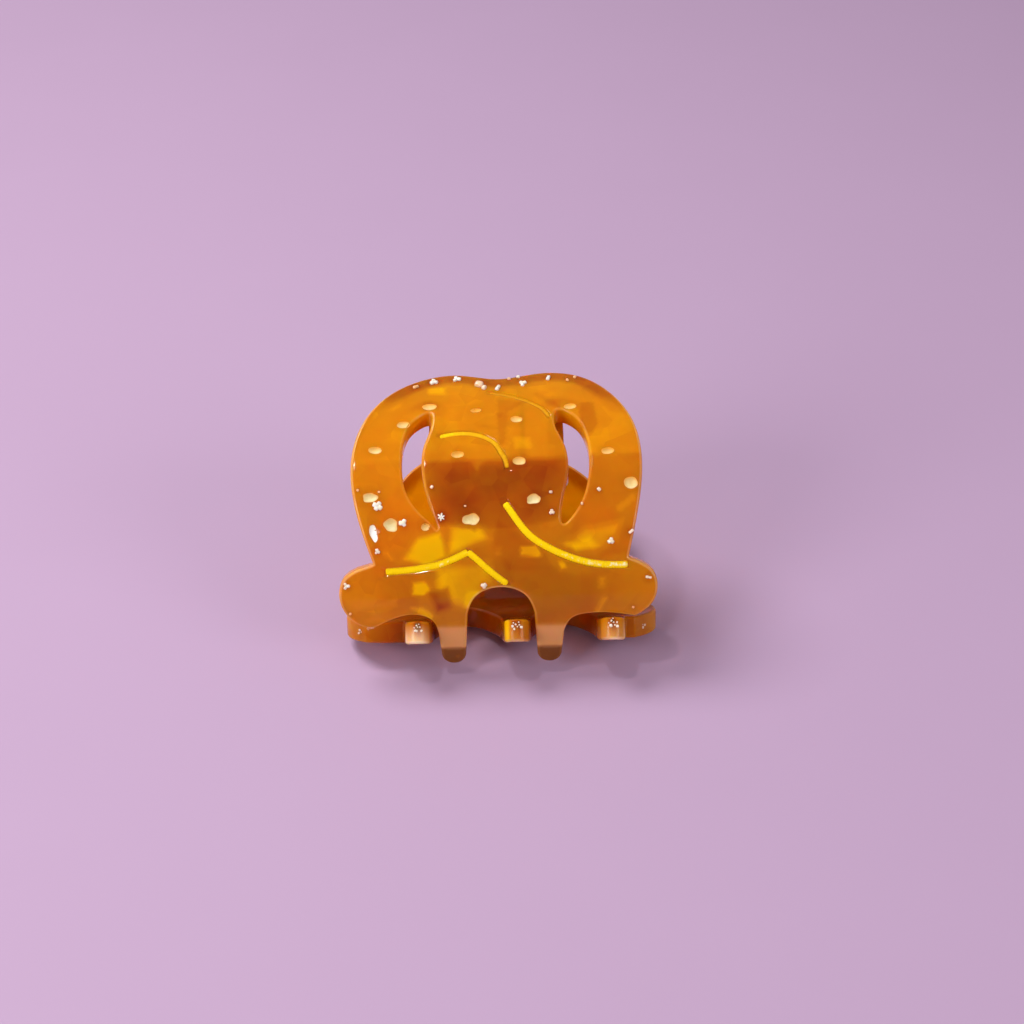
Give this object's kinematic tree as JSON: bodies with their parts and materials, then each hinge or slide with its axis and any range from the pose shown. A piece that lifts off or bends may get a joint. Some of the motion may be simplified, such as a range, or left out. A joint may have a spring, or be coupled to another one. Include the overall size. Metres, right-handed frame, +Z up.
{
  "type": "claw hair clip",
  "caption": "Hair claw of two bent sheets cut as a pretzel, on a sprung hinge, with teeth that cross when closed.",
  "frame": {"origin": "middle of the bounding box, on the surface the clip lies on", "axes": "+X along the width of the jaws; -Y towards the teeth; +Z up, square to the surface it lies on"},
  "size_m": [0.0574, 0.0527, 0.0412],
  "materials": {
    "acetate": "polished, translucent amber with pale clouds",
    "acetate_plain": "polished, translucent amber",
    "steel": "bright spring steel"
  },
  "bodies": {
    "back_half": {"back_jaw": "acetate", "back_knuckle_right": "acetate_plain", "back_knuckle_left": "acetate_plain", "hinge_pin": "steel", "hinge_spring": "steel"},
    "front_half": {"front_jaw": "acetate", "front_knuckle_right": "acetate_plain", "front_knuckle_left": "acetate_plain", "spring_front_leg": "steel"}
  },
  "joints": [
    {"name": "jaw_hinge", "type": "hinge", "parent": "back_half", "child": "front_half", "pos_m": [0, 0.00773, 0.02162], "axis": [-1, 0, 0], "range_deg": [0, 60], "stiffness_Nm_per_rad": 0.03, "springref_deg": -34.38}
  ]
}
